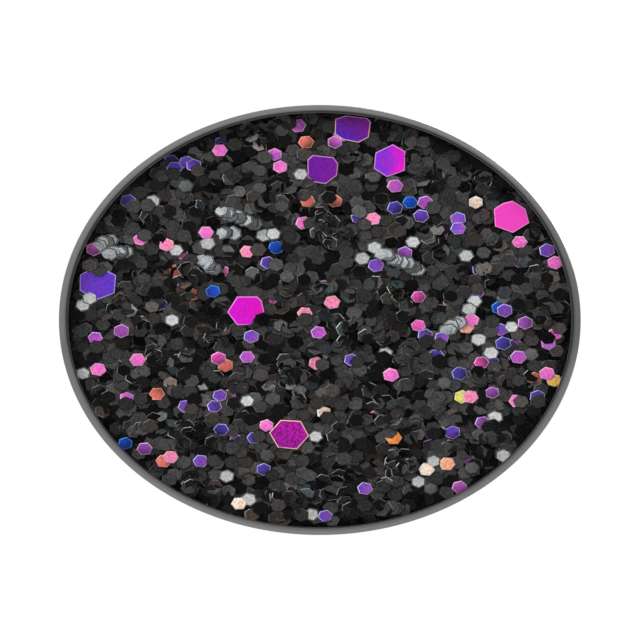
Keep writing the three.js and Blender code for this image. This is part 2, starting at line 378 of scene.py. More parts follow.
# %% Tray
SHOULDER_WIDTH, SHOULDER_DEPTH = 0.46, 0.6
RIM_WIDTH = 0.72
CREST_FALL = 0.006
SHOULDER_ROUND, FOOT_ROUND = 0.3, 0.05
crest_radius = HALF_WIDTH - SHOULDER_WIDTH
inner_radius = HALF_WIDTH - RIM_WIDTH
crest_start = np.array([crest_radius, -CREST])
crest_end = np.array([inner_radius, -CREST + CREST_FALL])
tray_profile = rounded([
    (0, 0),
    (HALF_WIDTH, 0),
    (HALF_WIDTH, -CREST + SHOULDER_DEPTH),
    crest_start,
    crest_start * 0.38 + crest_end * 0.62,
    crest_start * 0.18 + crest_end * 0.82,
    crest_end,
    (inner_radius, -FLOOR),
    (0, -FLOOR),
], [SHOULDER_ROUND, SHOULDER_ROUND, SHOULDER_ROUND, 0, 0, 0.03, FOOT_ROUND])
tray = turned("tray_shell", tray_profile, 240, flatten=FLATTEN, sharp=28)
place_piece(tray, "pin", "black_satin", black_plate, "tray")
print("tray profile points:", len(tray_profile))

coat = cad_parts["base_coat"]
coat.data.materials.clear()
coat.data.materials.append(enamel)

# %% [markdown]
# ## Glitter
# Glitter is foil cut into hexagons, about a millimetre across. One flake could be an object of its own and be
# copied by an instancer, but thousands of loose copies are slow to keep and to hand on. So a single function
# works out the corners of any number of flakes at once, and one mesh holds all the flakes of a kind. A flake
# is a thin prism whose top edge is bevelled, because that bevel is the pale line round many of the flakes.
# Its pale colour is partly the cut foil's side and partly a painted highlight, brighter towards the light.
#
# Flakes fall one after another. Each comes to rest on the flakes below it and leans with them, so the bed
# gets the fish-scale overlaps and the dark gaps of a real one.

# %% Flake geometry
FLAKE_ACROSS = 1.1
FLAKE_THICKNESS = 0.03
FLAKE_BEVEL = 0.045
SIXTHS = np.arange(6)
FLAKE_CORNERS = 18
HEXAGON_LOOPS, SIDE_LOOPS = 6, 24
BACK_SHADE = 0.35


def flake_faces():
    """The faces of one flake of 18 corners: its bottom, six sides, six bevels and its top."""
    after = (SIXTHS + 1) % 6
    sides = np.column_stack([SIXTHS, after, after + 6, SIXTHS + 6])
    bevels = sides + 6
    return [SIXTHS[::-1], *sides, *bevels, SIXTHS + 12]


def flake_corners(places, slopes, turns, across, thickness, bevel):
    """The corners of n flakes, as an n by 18 by 3 array of (u, v, height).

    A flake's own axes are a right-handed set whose third is its normal (-su, -sv, 1), for slopes su and sv.
    The corner at angle a is r (cos a, sin a) in the first two, and its ring's height in the third.
    """
    normal = unit(np.column_stack([-slopes, np.ones(len(slopes))]))
    first = unit(np.column_stack([np.ones(len(slopes)), np.zeros(len(slopes)), slopes[:, 0]]))
    second = np.cross(normal, first)
    angles = turns[:, None] + SIXTHS * np.pi / 3
    rings = []
    for inset, height in ((0, 0), (0, thickness - bevel / 2), (bevel, thickness)):
        reach = (across / np.sqrt(3) - inset)[:, None]
        along, beside = reach * np.cos(angles), reach * np.sin(angles)
        rings.append(
            places[:, None]
            + along[..., None] * first[:, None]
            + beside[..., None] * second[:, None]
            + height * normal[:, None]
        )
    return np.concatenate(rings, axis=1)


def catches_light(turns, lit_from):
    """From 0 to 1 for each flake's six sides: the squared cosine between the side and where light is."""
    sides = turns[:, None] + (SIXTHS + 0.5) * np.pi / 3
    return np.clip(np.cos(sides - lit_from[:, None]), 0, 1)[..., None] ** 2


def on_face(points):
    """From (u, v, height over the base coat) to the pin's frame: x = u, z = v narrowed, y = -depth."""
    return np.stack([points[..., 0], -(COAT_FRONT + points[..., 2]), FLATTEN * points[..., 1]], axis=-1)


def flake_mesh(name, places, slopes, turns, across, top, edge, bevel=FLAKE_BEVEL, shift=None):
    """One mesh of many flakes. top is the colour of each flake's face, and edge of each of its six bevels.

    shift is a colour for each of a flake's six corners instead of top, and makes its face run from colour to
    colour, partly as iridescent foil and partly as painted shade. The back and the sides are painted a darker
    shade of top, a painted shade under and round the flake.
    """
    count = len(places)
    corners = on_face(flake_corners(places, slopes, turns, across, FLAKE_THICKNESS, bevel))
    faces = flake_faces()
    sizes = np.array([len(face) for face in faces])
    loops = np.concatenate(faces)
    mesh = bpy.data.meshes.new(name)
    mesh.vertices.add(count * FLAKE_CORNERS)
    mesh.vertices.foreach_set("co", (corners * MM).astype(np.float32).ravel())
    mesh.loops.add(count * len(loops))
    starts = np.arange(count)[:, None]
    mesh.loops.foreach_set("vertex_index", (starts * FLAKE_CORNERS + loops).astype(np.int32).ravel())
    mesh.polygons.add(count * len(faces))
    first_loop = np.concatenate([[0], np.cumsum(sizes)[:-1]])
    mesh.polygons.foreach_set("loop_start", (starts * len(loops) + first_loop).astype(np.int32).ravel())
    mesh.update(calc_edges=True)
    paint = np.ones((count, len(loops), 4), np.float32)
    bevel_start = HEXAGON_LOOPS + SIDE_LOOPS
    top_start = bevel_start + SIDE_LOOPS
    # Painted shade: the back and the sides are painted darker than the face, by BACK_SHADE.
    paint[:, :bevel_start, :3] = top[:, None] * BACK_SHADE
    paint[:, bevel_start:top_start, :3] = np.repeat(edge, 4, axis=1)
    paint[:, top_start:, :3] = top[:, None] if shift is None else shift
    colour = mesh.color_attributes.new("foil", "FLOAT_COLOR", "CORNER")
    colour.data.foreach_set("color", paint.ravel())
    mesh.shade_flat()
    made = bpy.data.objects.new(name, mesh)
    bpy.context.scene.collection.objects.link(made)
    return made


print("corners a flake:", FLAKE_CORNERS, "faces:", len(flake_faces()))

# %% Settling
TOUCHING = 0.8
STEEPEST = 0.3
LEVELLING = 0.1


def settle(points, reaches, leaning, clearance, thickness):
    """Heights and slopes of flakes dropped in order at points (u, v).

    Two flakes touch when they are nearer than a share of their two reaches added up. A flake's slope is its
    leaning, from 0 to 1, times the least-squares slope of the tops under it, as if they lay evenly round it:
    twice the sum of offset times height over the sum of squared offsets. It is never steeper than a limit.
    The flake is then as low as it can be with every one of those tops under its plane, plus its clearance.
    """
    heights = np.zeros(len(points))
    slopes = np.zeros((len(points), 2))
    for i, point in enumerate(points[1:], 1):
        offsets = points[:i] - point
        squares = (offsets ** 2).sum(axis=1)
        under = squares < (TOUCHING * (reaches[:i] + reaches[i])) ** 2
        if not under.any():
            continue
        tops = heights[:i][under] + thickness
        offsets = offsets[under]
        slope = 2 * (offsets * (tops - tops.mean())[:, None]).sum(axis=0) / (squares[under].sum() + LEVELLING)
        steepness = np.linalg.norm(slope)
        slope *= leaning[i] * min(1, STEEPEST / max(steepness, 1e-9))
        slopes[i] = slope
        heights[i] = (tops - offsets @ slope).max() + clearance[i]
    return heights, slopes


rng = np.random.default_rng(11)
BED_MARGIN = 0.3
BED_RADIUS = FILL_RADIUS - BED_MARGIN
BED_DROP = 0.04


def in_bed(points):
    """Whether each point (u, v) lies in the bed's circle, whose middle is a little below the pin's."""
    return np.hypot(points[:, 0], points[:, 1] + BED_DROP) < BED_RADIUS


def scatter(spacing, jitter, kept=1.0):
    """Points (u, v) on a triangular grid in the bed's circle, each moved at random, in random order."""
    steps = np.arange(-1.2 * BED_RADIUS, 1.2 * BED_RADIUS, spacing)
    u, v = np.meshgrid(steps, steps * np.sqrt(3) / 2)
    u = u + (np.arange(len(steps)) % 2)[:, None] * spacing / 2
    points = np.column_stack([u.ravel(), v.ravel()])
    points = points + rng.uniform(-jitter, jitter, points.shape)
    points = points[in_bed(points)]
    return rng.permutation(points)[: int(kept * len(points))]


print("settle, scatter")

# %% [markdown]
# Among the black flakes lie some of other colours. Where they lie is part of this pin's look, so they are
# listed by colour, as x and z in millimetres. Most of the black flakes are left to chance. A foil has two
# colours, for its face and for the bevel round it. A pale bevel colour is partly the cut foil's side and
# partly a painted highlight. The silver bevels are painted dark, a painted shadow line where one flake lies
# over the next.

# %% Coloured flakes
# Painted light: pale bevel colours are partly painted highlight, and the silver bevels are painted shadow
# lines.
FOILS = {
    "pink": ((0.93, 0.19, 0.55), (0.95, 0.62, 0.78)),
    "hot pink": ((0.95, 0.10, 0.52), (0.98, 0.60, 0.82)),
    "orchid": ((0.72, 0.13, 0.62), (0.90, 0.62, 0.86)),
    "salmon": ((0.98, 0.27, 0.40), (0.98, 0.66, 0.62)),
    "coral": ((0.90, 0.22, 0.16), (0.95, 0.50, 0.36)),
    "amber": ((1.0, 0.34, 0.05), (1.0, 0.70, 0.35)),
    "gold": ((0.95, 0.60, 0.16), (1.0, 0.86, 0.55)),
    "peach": ((0.98, 0.46, 0.28), (1.0, 0.78, 0.62)),
    "cream": ((0.95, 0.84, 0.72), (0.98, 0.95, 0.90)),
    "yellow": ((0.72, 0.74, 0.10), (0.90, 0.90, 0.45)),
    "violet": ((0.13, 0.06, 0.56), (0.70, 0.62, 0.92)),
    "purple": ((0.34, 0.08, 0.50), (0.80, 0.60, 0.90)),
    "indigo": ((0.07, 0.045, 0.42), (0.50, 0.46, 0.88)),
    "blue": ((0.004, 0.085, 0.62), (0.10, 0.42, 0.85)),
    "silver": ((0.48, 0.52, 0.54), (0.016, 0.018, 0.02)),
    # Painted shade: this is the same silver foil painted darker.
    "dull silver": ((0.13, 0.14, 0.145), (0.02, 0.022, 0.024)),
    "row silver": ((0.45, 0.49, 0.51), (0.004, 0.004, 0.005)),
}
ACCENTS = {
    "yellow": [(10.4, -5.6)],
    "amber": [(5.4, -8.6)],
    "gold": [(17.1, -4.4)],
    "blue": [(-7.8, 2.1), (-3.2, 5.3), (6.6, 8.6), (13.1, 0.9), (-14.2, -9.0)],
    "indigo": [
        (-10.6, 11.1), (-14.0, 8.7), (5.5, 8.2), (13.4, -1.7), (8.5, -2.6), (12.6, -3.1), (10.2, -3.9),
        (15.9, -5.6), (-7.2, -8.0), (-4.1, -10.9), (-4.8, -8.6),
    ],
    "violet": [
        (-9.7, 11.5), (-9.2, 11.3), (-3.8, 4.2), (7.4, 7.6), (10.1, 7.4), (10.1, 6.7), (4.1, 4.0),
        (16.6, 5.1), (7.7, -1.1), (8.9, -1.3), (13.5, 0.7), (13.2, -0.7), (-5.0, -1.2), (2.3, -2.9),
        (-9.8, -6.3), (-7.3, -5.5), (-7.7, -6.3), (9.7, -8.2), (3.3, -12.3), (0.4, -14.3), (-8.7, -10.3),
        (2.8, 7.5),
    ],
    "purple": [
        (7.7, 8.6), (6.2, 4.9), (11.4, 2.0), (15.0, -0.2), (-14.5, -0.8), (-16.4, -1.3), (-5.3, -2.7),
        (12.6, -5.3), (14.5, -2.7), (-12.8, -9.4), (11.9, -7.5), (-0.1, -0.9),
    ],
    "silver": [
        (-1.4, 10.65), (1.45, 13.4), (-12.2, 8.7), (-8.2, 5.6), (-10.5, 5.1), (-10.8, 0), (-17.3, 1.1),
        (-16.8, 1.6), (6.8, 5.7), (10.7, 4.7), (4.0, 5.3), (11.3, 1.4), (10.9, 0.8), (14.0, -0.5),
        (11.6, -1.4), (12.5, -2.4), (4.8, -2.4), (-17.3, -3.9), (-5.3, -5.9), (-0.3, -8.5), (12.8, -7.1),
        (8.3, -10.3), (7.2, -11.8), (13.4, -9.9), (-6.8, -11.4), (-5.2, -13.1), (-0.6, -14.2), (-4.1, 6.2),
        (-3.4, 6.3), (3.1, 4.5),
    ],
    "dull silver": [(-9.8, 9.8), (13.4, 1.6), (9.1, -4.6), (15.4, -2.5), (8.1, -12.3), (11.1, -10.8)],
    "peach": [(9.3, -10.5), (10.7, -0.5)],
    "cream": [(11.4, 8.6), (7.8, -10.9), (-5.9, -13.4), (0.3, -6.75)],
    "coral": [(-1.0, 13.0), (-0.9, 8.7), (1.1, 8.7), (-11.9, -5.4), (-6.9, -3.3), (-11.4, -10.3)],
    "salmon": [
        (-11.2, 5.5), (-5.3, 5.0), (3.9, 7.4), (0.9, 1.3), (11.0, -5.6), (-10.9, -10.0), (-1.1, 0.5),
        (-0.25, -3.15),
    ],
    "orchid": [
        (-16.5, 5.2), (-1.6, 14.2), (-3.3, 12.1), (5.5, 9.8), (1.1, 13.0), (16.7, -1.7), (10.2, -12.2),
        (-14.1, -5.7),
    ],
    "pink": [
        (-7.3, 12.4), (-2.9, 11.2), (-13.1, 5.9), (14.6, 5.7), (17.2, 4.2), (11.1, 0), (-13.3, -2.9),
        (-16.2, -3.6), (5.2, -4.0), (-3.9, -7.7), (14.4, -5.9), (16.6, -3.9), (-1.2, 7.1), (-8.3, 6.4),
    ],
    "hot pink": [(7.2, 1.7), (7.2, -0.4), (17.2, -1.0), (11.8, -3.1), (-7.4, -2.8)],
}
accent_spots = np.array([spot for spots in ACCENTS.values() for spot in spots])
accent_names = [name for name, spots in ACCENTS.items() for _ in spots]
accents = np.column_stack([accent_spots[:, 0], accent_spots[:, 1] / FLATTEN])
print("coloured flakes:", len(accents))

# %% [markdown]
# Here and there flakes have slid down together like a toppled row of dominoes, and show as a row of thin
# crescents. A row is a few flakes set closely along a line, each tilted the same way, so that each hides most
# of the next. Seven rows are of silver flakes, some of them painted darker as painted shade, and many more
# are black.

# %% Rows of toppled flakes
ROW_STEP, BLACK_ROW_STEP = 0.31, 0.27
ROW_SLOPE, ROW_SLOPE_NOISE = 0.24, 0.06
ROW_JITTER = 0.13
SILVER_ROWS = [
    ((-7.1, 8.0), (-4.8, 7.0)), ((-7.1, 6.4), (-6.2, 6.4)), ((-16.2, 5.4), (-15.3, 5.9)),
    ((-15.5, 4.8), (-14.2, 5.1)), ((-8.5, 4.4), (-7.8, 3.8)), ((4.6, 4.9), (7.3, 3.6)),
    ((9.3, -0.7), (10.1, -0.2)),
]
BLACK_ROWS = 130
SHORTEST_ROW, LONGEST_ROW = 0.7, 2.2


def row_of_flakes(start, end, step=ROW_STEP):
    """Places and slopes of a toppled row, in (u, v): even steps from start to end, all leaning along it."""
    count = int(np.linalg.norm(end - start) / step) + 2
    share = np.linspace(0, 1, count)[:, None]
    lean = unit(end - start) * ROW_SLOPE
    places = start + share * (end - start) + rng.uniform(-ROW_JITTER, ROW_JITTER, (count, 2))
    return places, lean + rng.normal(0, ROW_SLOPE_NOISE, (count, 2))


silver_rows = [row_of_flakes(*(np.array(end) / (1, FLATTEN) for end in ends)) for ends in SILVER_ROWS]
row_starts = scatter(1.2, 0.5)[:BLACK_ROWS]
row_angles = rng.uniform(0, 2 * np.pi, BLACK_ROWS)
row_lengths = rng.uniform(SHORTEST_ROW, LONGEST_ROW, BLACK_ROWS)
row_ends = row_starts + row_lengths[:, None] * np.column_stack([np.cos(row_angles), np.sin(row_angles)])
black_rows = [row_of_flakes(start, end, BLACK_ROW_STEP) for start, end in zip(row_starts, row_ends)]
print("flakes in rows:", sum(len(places) for places, _ in silver_rows + black_rows))

# %% [markdown]
# The seven large flakes are another cut. They lie among the last flakes to fall, so they take part in the
# settling too. Each has its own outline, because coarse foil is cut roughly.

# %% Large flakes: outlines
LARGE = {
    "flake_violet_left": (
        (-16.24, 2.72), [(0, 1.25), (1.36, 0.55), (1.24, -0.75), (0, -1.24), (-1.3, -0.56), (-1.27, 0.59)],
    ),
    "flake_magenta_centre": (
        (-5.31, 0.68),
        [(0.73, 1.04), (1.08, 0.72), (1.25, -0.1), (0.73, -1.04), (-0.73, -1.04), (-1.45, -0.1),
         (-0.73, 1.04)],
    ),
    "flake_magenta_low": (
        (-2.24, -8.34),
        [(0.86, 0.97), (1.45, -0.12), (0.57, -1.09), (-0.82, -0.97), (-1.45, 0.12), (-0.62, 1.05)],
    ),
    "flake_purple_upper": (
        (0.2, 10.98),
        [(0.8, 0.9), (1.14, 0.45), (1.05, -0.42), (0.23, -1.04), (-0.61, -0.91), (-1.08, -0.57), (-1.1, 0.72),
         (-0.72, 1.07)],
    ),
    "flake_purple_top": (
        (2.41, 13.98),
        [(1.05, 0.76), (1.31, 0.5), (1.16, -0.63), (0.43, -1.02), (-0.73, -0.8), (-1.32, -0.38), (-1.28, 0.7),
         (-0.52, 0.95)],
    ),
    "flake_violet_upper_right": (
        (5.11, 11.64),
        [(0.23, 1.2), (1.13, 0.69), (1.09, -0.72), (-0.21, -1.19), (-1.17, -0.58), (-1.04, 0.59)],
    ),
    "flake_pink_right": (
        (13.97, 7.52),
        [(0.1, 1.2), (1.05, 0.6), (1.32, -0.42), (0.13, -1.15), (-1.17, -0.67), (-1.26, 0.59), (-0.6, 1.02)],
    ),
}
LARGE_REACH = 1.3
large_centres = np.array([(centre[0], centre[1] / FLATTEN) for centre, _ in LARGE.values()])

# %% [markdown]
# The order of the fall decides what shows. Two layers of black come first, then a few bright flakes that end
# up mostly buried, one more black layer and the toppled black rows. The large flakes are next, and then the
# covers, black flakes that lie over their edges. The coloured and silver flakes follow, and late black flakes
# fill the gaps between them. Last come the hiding flakes, black too, each over a part of a bright flake.

# %% The bed settles
FLAKE_REACH = FLAKE_ACROSS / 2
BURIED = 60
CLEAR_OF_BRIGHT = 1.12
CLEAR_OF_LARGE, LATE_CLEAR_OF_LARGE = 1.7, 1.62
LEANING = 0.75
CLEARANCE = 0.03

low_black = np.vstack([scatter(1.0, 0.42, kept=0.93) for _ in range(2)])
buried = scatter(1.5, 0.7)[:BURIED]
high_black = scatter(1.0, 0.42, kept=0.9)
tumbled = np.vstack([places for places, _ in black_rows])
silver_spots = np.vstack([places for places, _ in silver_rows])
bright_spots = np.vstack([accents, silver_spots])
late = scatter(1.3, 0.6)
hiding = np.array([
    (-1.2, 9.1), (0.65, 8.95), (-3.2, 4.05), (-4.5, 5.15), (-0.7, 7.05), (-1.05, 0.05), (-12.8, 6.2),
    (-7.8, 7.1), (7.8, -1.5), (8.7, -1.75), (8.75, -3.0), (17.5, -0.6), (16.65, -1.3), (14.7, -5.95),
    (15.95, -5.95), (13.5, 2.0), (11.5, 2.3), (0.2, -3.25), (2.75, -3.05), (4.65, -2.75), (0.55, -7.1),
    (-4.45, -8.5), (5.1, -8.2), (12.75, -3.45), (-9.35, -6.5), (-14.15, -6.1), (2.9, 7.9),
    (-12.6, 8.4), (-13.6, 8.3), (-10.7, 10.7), (-8.9, 10.9), (12.35, -7.8),
]) / (1, FLATTEN)
covers = np.array([
    (-16.12, 3.65), (-4.95, -0.2), (-5.95, -0.75), (-6.8, 0.05), (-4.2, 0.05), (-3.25, -7.3), (-0.9, 10.15),
    (2.35, 12.75), (1.7, 12.5), (13.0, 8.6), (-2.6, -9.75),
]) / (1, FLATTEN)


def distance_to(points, others):
    """From each of points to the nearest of the others."""
    return np.linalg.norm(points[:, None] - others, axis=-1).min(axis=1)


tumbled_far = distance_to(tumbled, bright_spots) > CLEAR_OF_BRIGHT
tumbled_far &= distance_to(tumbled, large_centres) > CLEAR_OF_LARGE
tumbled_far &= in_bed(tumbled)
room_wanted = rng.choice([0.7, 0.95, 1.05, 1.1], len(late))
late_far = distance_to(late, bright_spots) > room_wanted
late_far &= distance_to(late, large_centres) > LATE_CLEAR_OF_LARGE
kinds = {
    "low black": low_black, "buried": buried, "high black": high_black, "tumbled": tumbled[tumbled_far],
    "large": large_centres, "cover": covers, "accent": accents, "silver row": silver_spots,
    "late": late[late_far], "hiding": hiding,
}
kind = np.concatenate([np.full(len(points), name) for name, points in kinds.items()])
order = np.vstack(list(kinds.values()))
reaches = np.where(kind == "large", LARGE_REACH, FLAKE_REACH)
leaning = np.where(np.isin(kind, ["large", "cover", "hiding"]), 0, LEANING)
clearance = np.where(np.isin(kind, ["large", "accent"]), CLEARANCE, 0)
heights, slopes = settle(order, reaches, leaning, clearance, FLAKE_THICKNESS)
BED_DEPTH = FLAKE_FRONT - COAT_FRONT
squeeze = (BED_DEPTH - FLAKE_THICKNESS) / heights.max()
heights *= squeeze
slopes *= min(squeeze, 1)
slopes[kind == "tumbled"] = np.vstack([lean for _, lean in black_rows])[tumbled_far]
slopes[kind == "silver row"] = np.vstack([lean for _, lean in silver_rows])
print("settled", len(order), "flakes, squeezed by", round(float(squeeze), 2))

# %% [markdown]
# Most of the bed lies flat like a mosaic, but in places it is jumbled. A place is jumbled where a few slow
# waves across the face add up to a crest, away from the bright flakes. A flake that lies deeper than its
# neighbours is in their shade, so its paint is darker, and about a quarter of the flakes are painted nearly
# black, a painted shade.
#
# Few bevels glint, and the glint is a painted highlight in the bevel's colour. How brightly one is painted is
# a random number to the fourth power, so that most stay dark, and it is more in the jumble, on the toppled
# rows and towards the light.

# %% Black flakes
QUIET_GREY, QUIET_SPREAD, QUIET_TINT = 0.041, 0.36, 0.05
LIVELY_GREY, LIVELY_SPREAD, LIVELY_TINT = 0.021, 0.95, 0.15
JUMBLE_STARTS, JUMBLE_FADE = 1.05, 0.5
SHADE_DEPTH = 0.09
SHADED_SHARE, SHADED = 0.27, 0.12
DARKEST_EDGE, BRIGHTEST_EDGE = 0.003, 0.7
FLAT_NOISE, JUMBLE_NOISE = 0.015, 0.34


def tones(count, usual, spread, tint):
    """Greys round a usual value, each made a little warmer or cooler by chance."""
    grey = usual * np.exp(rng.normal(0, spread, (count, 1)))
    warmth = rng.normal(0.04, tint, (count, 1)) * (1.0, -0.1, -0.7)
    return grey * np.clip(1 + warmth + rng.normal(0, tint / 4, (count, 3)), 0.1, None)


def jumbled(points):
    """From 0 to 1, how jumbled the bed is at points (u, v): four waves added up, cut off at half a crest."""
    angles = rng.uniform(0, 2 * np.pi, 4)
    waves = np.column_stack([np.cos(angles), np.sin(angles)]) * rng.uniform(0.8, 1.6, 4)[:, None]
    height = np.sin(points @ waves.T + rng.uniform(0, 2 * np.pi, 4)).mean(axis=1)
    return np.clip(height * 2.2 + 0.3, 0, 1)


def above_its_square(points, values, side=1.2):
    """How far each value is above the mean of the values in its own square of the face."""
    column = np.floor((points + 30) / side).astype(int) @ (1, 100)
    total = np.bincount(column, values)
    count = np.bincount(column)
    return values - total[column] / count[column]


is_black = np.isin(kind, ["low black", "high black", "tumbled", "cover", "late", "hiding"])
black_count = int(is_black.sum())
spots = order[is_black]
near_bright = np.minimum(distance_to(spots, bright_spots), distance_to(spots, large_centres) - 0.8)
jumble = (jumbled(spots) * np.clip((near_bright - JUMBLE_STARTS) / JUMBLE_FADE, 0, 1))[:, None]
lit = np.clip(0.7 + above_its_square(order, heights)[is_black] / SHADE_DEPTH, 0.05, 1)[:, None]
quiet = tones(black_count, QUIET_GREY, QUIET_SPREAD, QUIET_TINT)
lively = tones(black_count, LIVELY_GREY, LIVELY_SPREAD, LIVELY_TINT)
black_top = np.where(jumble > 0.3, lively, quiet) * lit
# Painted shade: about a quarter of the black flakes, at random, are painted nearly black.
black_top[rng.random(black_count) < SHADED_SHARE] *= SHADED
turns = rng.uniform(0, np.pi / 3, black_count)
# Painted highlight: a bevel's glint is painted into its colour, brighter on the side towards the light.
edge_light = catches_light(turns, rng.normal(2.2, 0.9, black_count))
painted_glint = 0.5 * rng.uniform(0, 1, (black_count, 1)) ** 4 * (0.5 + jumble) * np.clip(lit, 0.3, 1)
painted_glint *= np.where(kind[is_black] == "tumbled", 2.4, 1)[:, None]
black_edge = DARKEST_EDGE + (0.15 + 0.85 * edge_light) * painted_glint[:, None].clip(0, BRIGHTEST_EDGE)
lean = slopes[is_black] + rng.normal(0, 1, (black_count, 2)) * (FLAT_NOISE + JUMBLE_NOISE * jumble)
black_edge = np.broadcast_to(black_edge, (black_count, 6, 3))
black_across = rng.uniform(0.9, 1.03, black_count) * FLAKE_ACROSS
black_places = np.column_stack([spots, heights[is_black]])
black_flakes = flake_mesh("glitter_black", black_places, lean, turns, black_across, black_top, black_edge)
print("black flakes:", black_count)

# %% Foil material
DUST_SCALE, DUST_DETAIL = 6500, 3


def mottle(tree, colour, grain):
    """Brightens and darkens a colour by up to grain, in spots a seventh of a millimetre across."""
    dust = node(tree, "ShaderNodeTexNoise")
    dust.inputs["Scale"].default_value = DUST_SCALE
    dust.inputs["Detail"].default_value = DUST_DETAIL
    mottled = node(tree, "ShaderNodeVectorMath", operation="SCALE")
    tree.links.new(node(tree, "ShaderNodeTexCoord").outputs["Object"], dust.inputs["Vector"])
    tree.links.new(colour, mottled.inputs[0])
    strength = mapped(tree, dust.outputs["Fac"], (0.35, 0.65), (1 - grain, 1 + grain))
    tree.links.new(strength, mottled.inputs["Scale"])
    tree.links.new(mottled.outputs["Vector"], tree.nodes["Principled BSDF"].inputs["Base Color"])


def foil_material(name, metallic, roughness, grain, **sockets):
    """Foil whose colour is painted on each flake, and mottled."""
    material = finish(name, (0.5, 0.5, 0.5), metallic, roughness, **sockets)
    paint = node(material.node_tree, "ShaderNodeAttribute", attribute_name="foil")
    mottle(material.node_tree, paint.outputs["Color"], grain)
    return material


black_foil = foil_material("black_foil", 0.0, 0.22, 0.35, Specular_IOR_Level=0.08)
bright_foil = foil_material("bright_foil", 0.1, 0.35, 0.25, Specular_IOR_Level=0.4)
place_piece(black_flakes, "pin", "black_glitter", black_foil, "glitter_bed")

# %% [markdown]
# A coloured flake runs from its own colour to a partner colour across its face, partly as interference foil
# does and partly as painted shade, because the partner lies on the side away from the light. On some of the
# deep colours the partner is painted almost black, a painted shade. A buried flake is painted darker all
# over, a painted shade under the flakes over it.

# %% Coloured and silver flakes
PARTNER = {
    "pink": (0.80, 0.13, 0.62), "hot pink": (0.90, 0.12, 0.62), "orchid": (0.36, 0.08, 0.52),
    "salmon": (0.93, 0.24, 0.55), "coral": (0.45, 0.08, 0.06), "amber": (0.80, 0.20, 0.04),
    "gold": (0.90, 0.45, 0.10), "peach": (0.95, 0.38, 0.30), "cream": (0.97, 0.62, 0.48),
    "yellow": (0.80, 0.70, 0.30), "violet": (0.38, 0.09, 0.55), "purple": (0.58, 0.08, 0.55),
    "indigo": (0.012, 0.012, 0.035), "blue": (0.006, 0.02, 0.20), "silver": (0.60, 0.58, 0.56),
    "row silver": (0.30, 0.31, 0.32), "dull silver": (0.08, 0.085, 0.09),
}
DEEP_COLOURS = ["violet", "purple", "indigo", "orchid", "coral", "blue", "hot pink"]
BURIED_SHADE = 0.45


def bright_flakes(name, wanted, bevel):
    """A mesh of the flakes whose foil is one of those wanted.

    The partner's share at the corner at angle a is half of 1 - cos(a - l), with l where the light comes from,
    so the partner lies away from the light, and where it is darker it is a painted shade.
    """
    chosen = np.isin(foil_names, wanted)
    names = foil_names[chosen]
    rows = bright_rows[chosen]
    count = len(rows)
    # shade is a random tone, and a buried flake is painted darker all over by BURIED_SHADE, a painted shade.
    shade = rng.uniform(0.8, 1.1, (count, 1)) * np.where(kind[rows] == "buried", BURIED_SHADE, 1)[:, None]
    top = np.array([FOILS[n][0] for n in names]) * shade
    # Painted shade: on some deep colours the partner, away from the light, is painted almost black.
    partner_painted_shade = np.where(np.isin(names, DEEP_COLOURS), rng.choice([1, 0.55, 0.15], count), 1)[:, None]
    partner = np.array([PARTNER[n] for n in names]) * shade * partner_painted_shade
    turns = rng.uniform(0, np.pi / 3, count)
    lit_from = rng.normal(2.4, 0.8, count)
    corner_angles = turns[:, None] + SIXTHS * np.pi / 3
    share = (0.5 - 0.5 * np.cos(corner_angles - lit_from[:, None]))[..., None]
    # Painted highlight: the pale bevel colour is painted brighter on the side towards the light.
    edge = np.array([FOILS[n][1] for n in names])[:, None] * (0.6 + 0.4 * catches_light(turns, lit_from))
    made = flake_mesh(
        name, np.column_stack([order[rows], heights[rows]]), slopes[rows], turns,
        rng.uniform(0.9, 1.02, count) * FLAKE_ACROSS, top, np.clip(edge, 0, 1), bevel=bevel,
        shift=np.clip(top[:, None] * (1 - share) + partner[:, None] * share, 0, 1),
    )
    place_piece(made, "pin", "black_glitter", bright_foil)


buried_names = rng.choice(["pink", "orchid", "coral", "violet", "purple", "indigo", "silver"], BURIED)
bright_rows = np.concatenate([np.flatnonzero(kind == name) for name in ("accent", "silver row", "buried")])
row_names = rng.choice(["row silver", "row silver", "dull silver"], len(silver_spots))
foil_names = np.concatenate([accent_names, row_names, buried_names])
bright_flakes("glitter_silver", ["silver", "dull silver"], bevel=0.1)
bright_flakes("glitter_rows", ["row silver"], bevel=0.11)
bright_flakes("glitter_coloured", [name for name in FOILS if "silver" not in name], bevel=0.08)
print("bright flakes:", len(foil_names))

# %% [markdown]
# ## Large flakes
# Each large flake is a plate with a bevelled edge, pale where the cut foil shows its side. Its face is
# coloured by a shader: two colours that run into each other, as interference foil does, mottled by fine dust.
# A look is the slot, the two colours, the edge's colour, the way from one colour to the other, and how
# strongly it is mottled.

